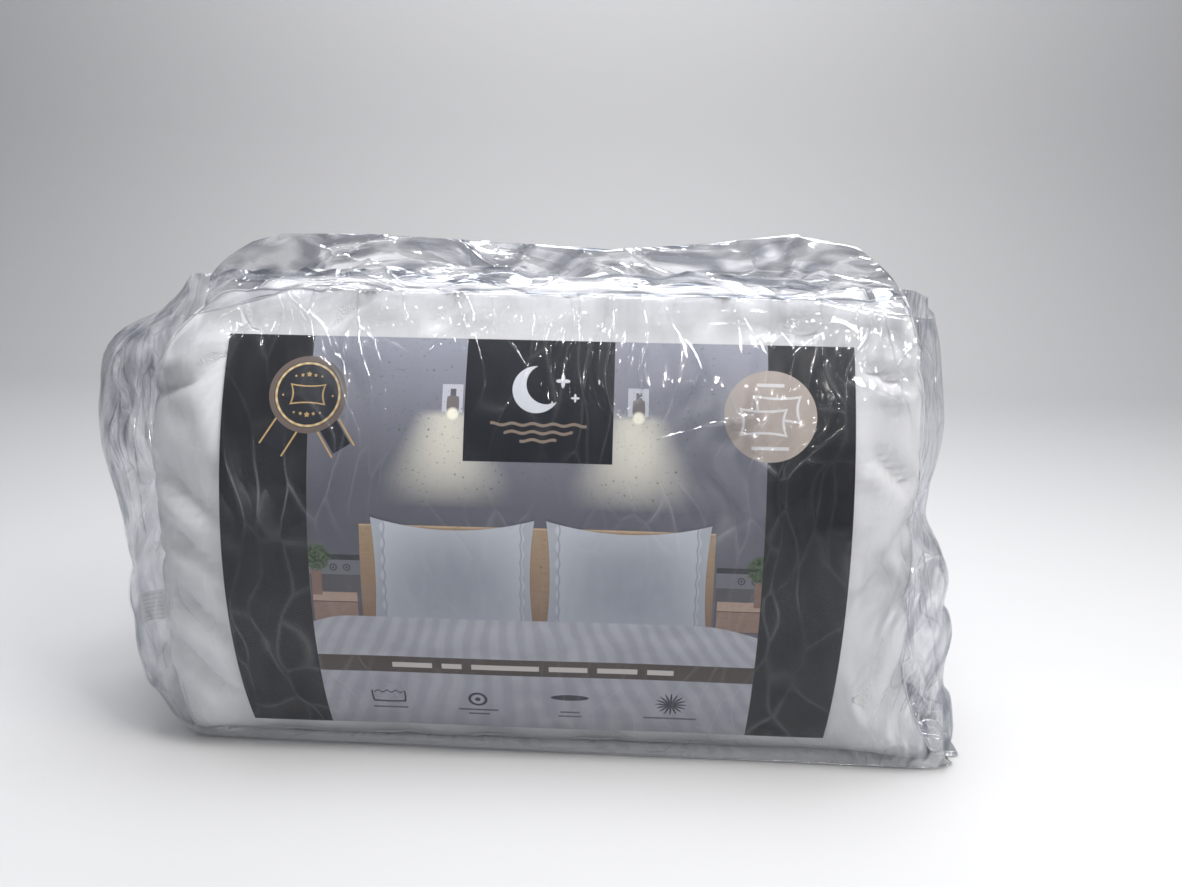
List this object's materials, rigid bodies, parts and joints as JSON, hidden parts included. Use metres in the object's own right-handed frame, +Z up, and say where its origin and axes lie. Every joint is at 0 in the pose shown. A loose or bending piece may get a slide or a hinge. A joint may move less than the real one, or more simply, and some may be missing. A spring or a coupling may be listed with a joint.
{
  "type": "packed bed pillow pair",
  "caption": "Plump white bed pillows packed face to face, standing on a long edge in a clear film bag with an open mouth, a fold-over flap and a bowed printed card.",
  "frame": {"origin": "middle of the bag's base, on the surface it stands on", "axes": "+X to the right along the pillows' length, the printed front faces -Y, +Z up out of the bag's mouth"},
  "size_m": [0.8, 0.2832, 0.4915],
  "materials": {
    "film": "clear crinkled polythene film",
    "weld": "flattened, slightly milky heat-welded film",
    "cotton": "white satin-stripe cotton casing, softly creased",
    "cotton_edge": "turned-in and sewn casing edge, puckered",
    "fibre": "lofty polyester hollowfibre",
    "thread": "white polyester sewing thread",
    "label": "woven satin ribbon, plain",
    "card": "coated paper with a bedroom print, dark side bands"
  },
  "bodies": {
    "bag": {"bag_front_panel": "film", "bag_back_panel": "film", "bag_left_gusset": "film", "bag_right_gusset": "film", "bag_base_gusset": "film", "front_weld_seam": "weld", "back_weld_seam": "weld"},
    "flap": {"mouth_flap": "film"},
    "card": {"insert_card": "card"},
    "front_pillow": {"front_casing_front": "cotton", "front_casing_back": "cotton", "front_edge_seam": "cotton_edge", "front_fibre_core": "fibre", "front_closing_stitch": "thread", "front_care_label": "label"},
    "rear_pillow": {"rear_casing_front": "cotton", "rear_casing_back": "cotton", "rear_edge_seam": "cotton_edge", "rear_fibre_core": "fibre", "rear_closing_stitch": "thread", "rear_care_label": "label"}
  },
  "joints": [
    {"name": "front_pillow_lift", "type": "slide", "parent": "bag", "child": "front_pillow", "axis": [0, 0, 1], "range_m": [0, 0.54]},
    {"name": "rear_pillow_lift", "type": "slide", "parent": "bag", "child": "rear_pillow", "axis": [0, 0, 1], "range_m": [0, 0.54]},
    {"name": "insert_card_lift", "type": "slide", "parent": "bag", "child": "card", "axis": [0, 0, 1], "range_m": [0, 0.54]},
    {"name": "mouth_flap_fold", "type": "hinge", "parent": "bag", "child": "flap", "pos_m": [0, 0.1407, 0.4455], "axis": [1, 0, 0], "range_deg": [-150, 90]}
  ],
  "couplings": [
    {"joint": "insert_card_lift", "follows": "front_pillow_lift", "ratio": 1}
  ]
}
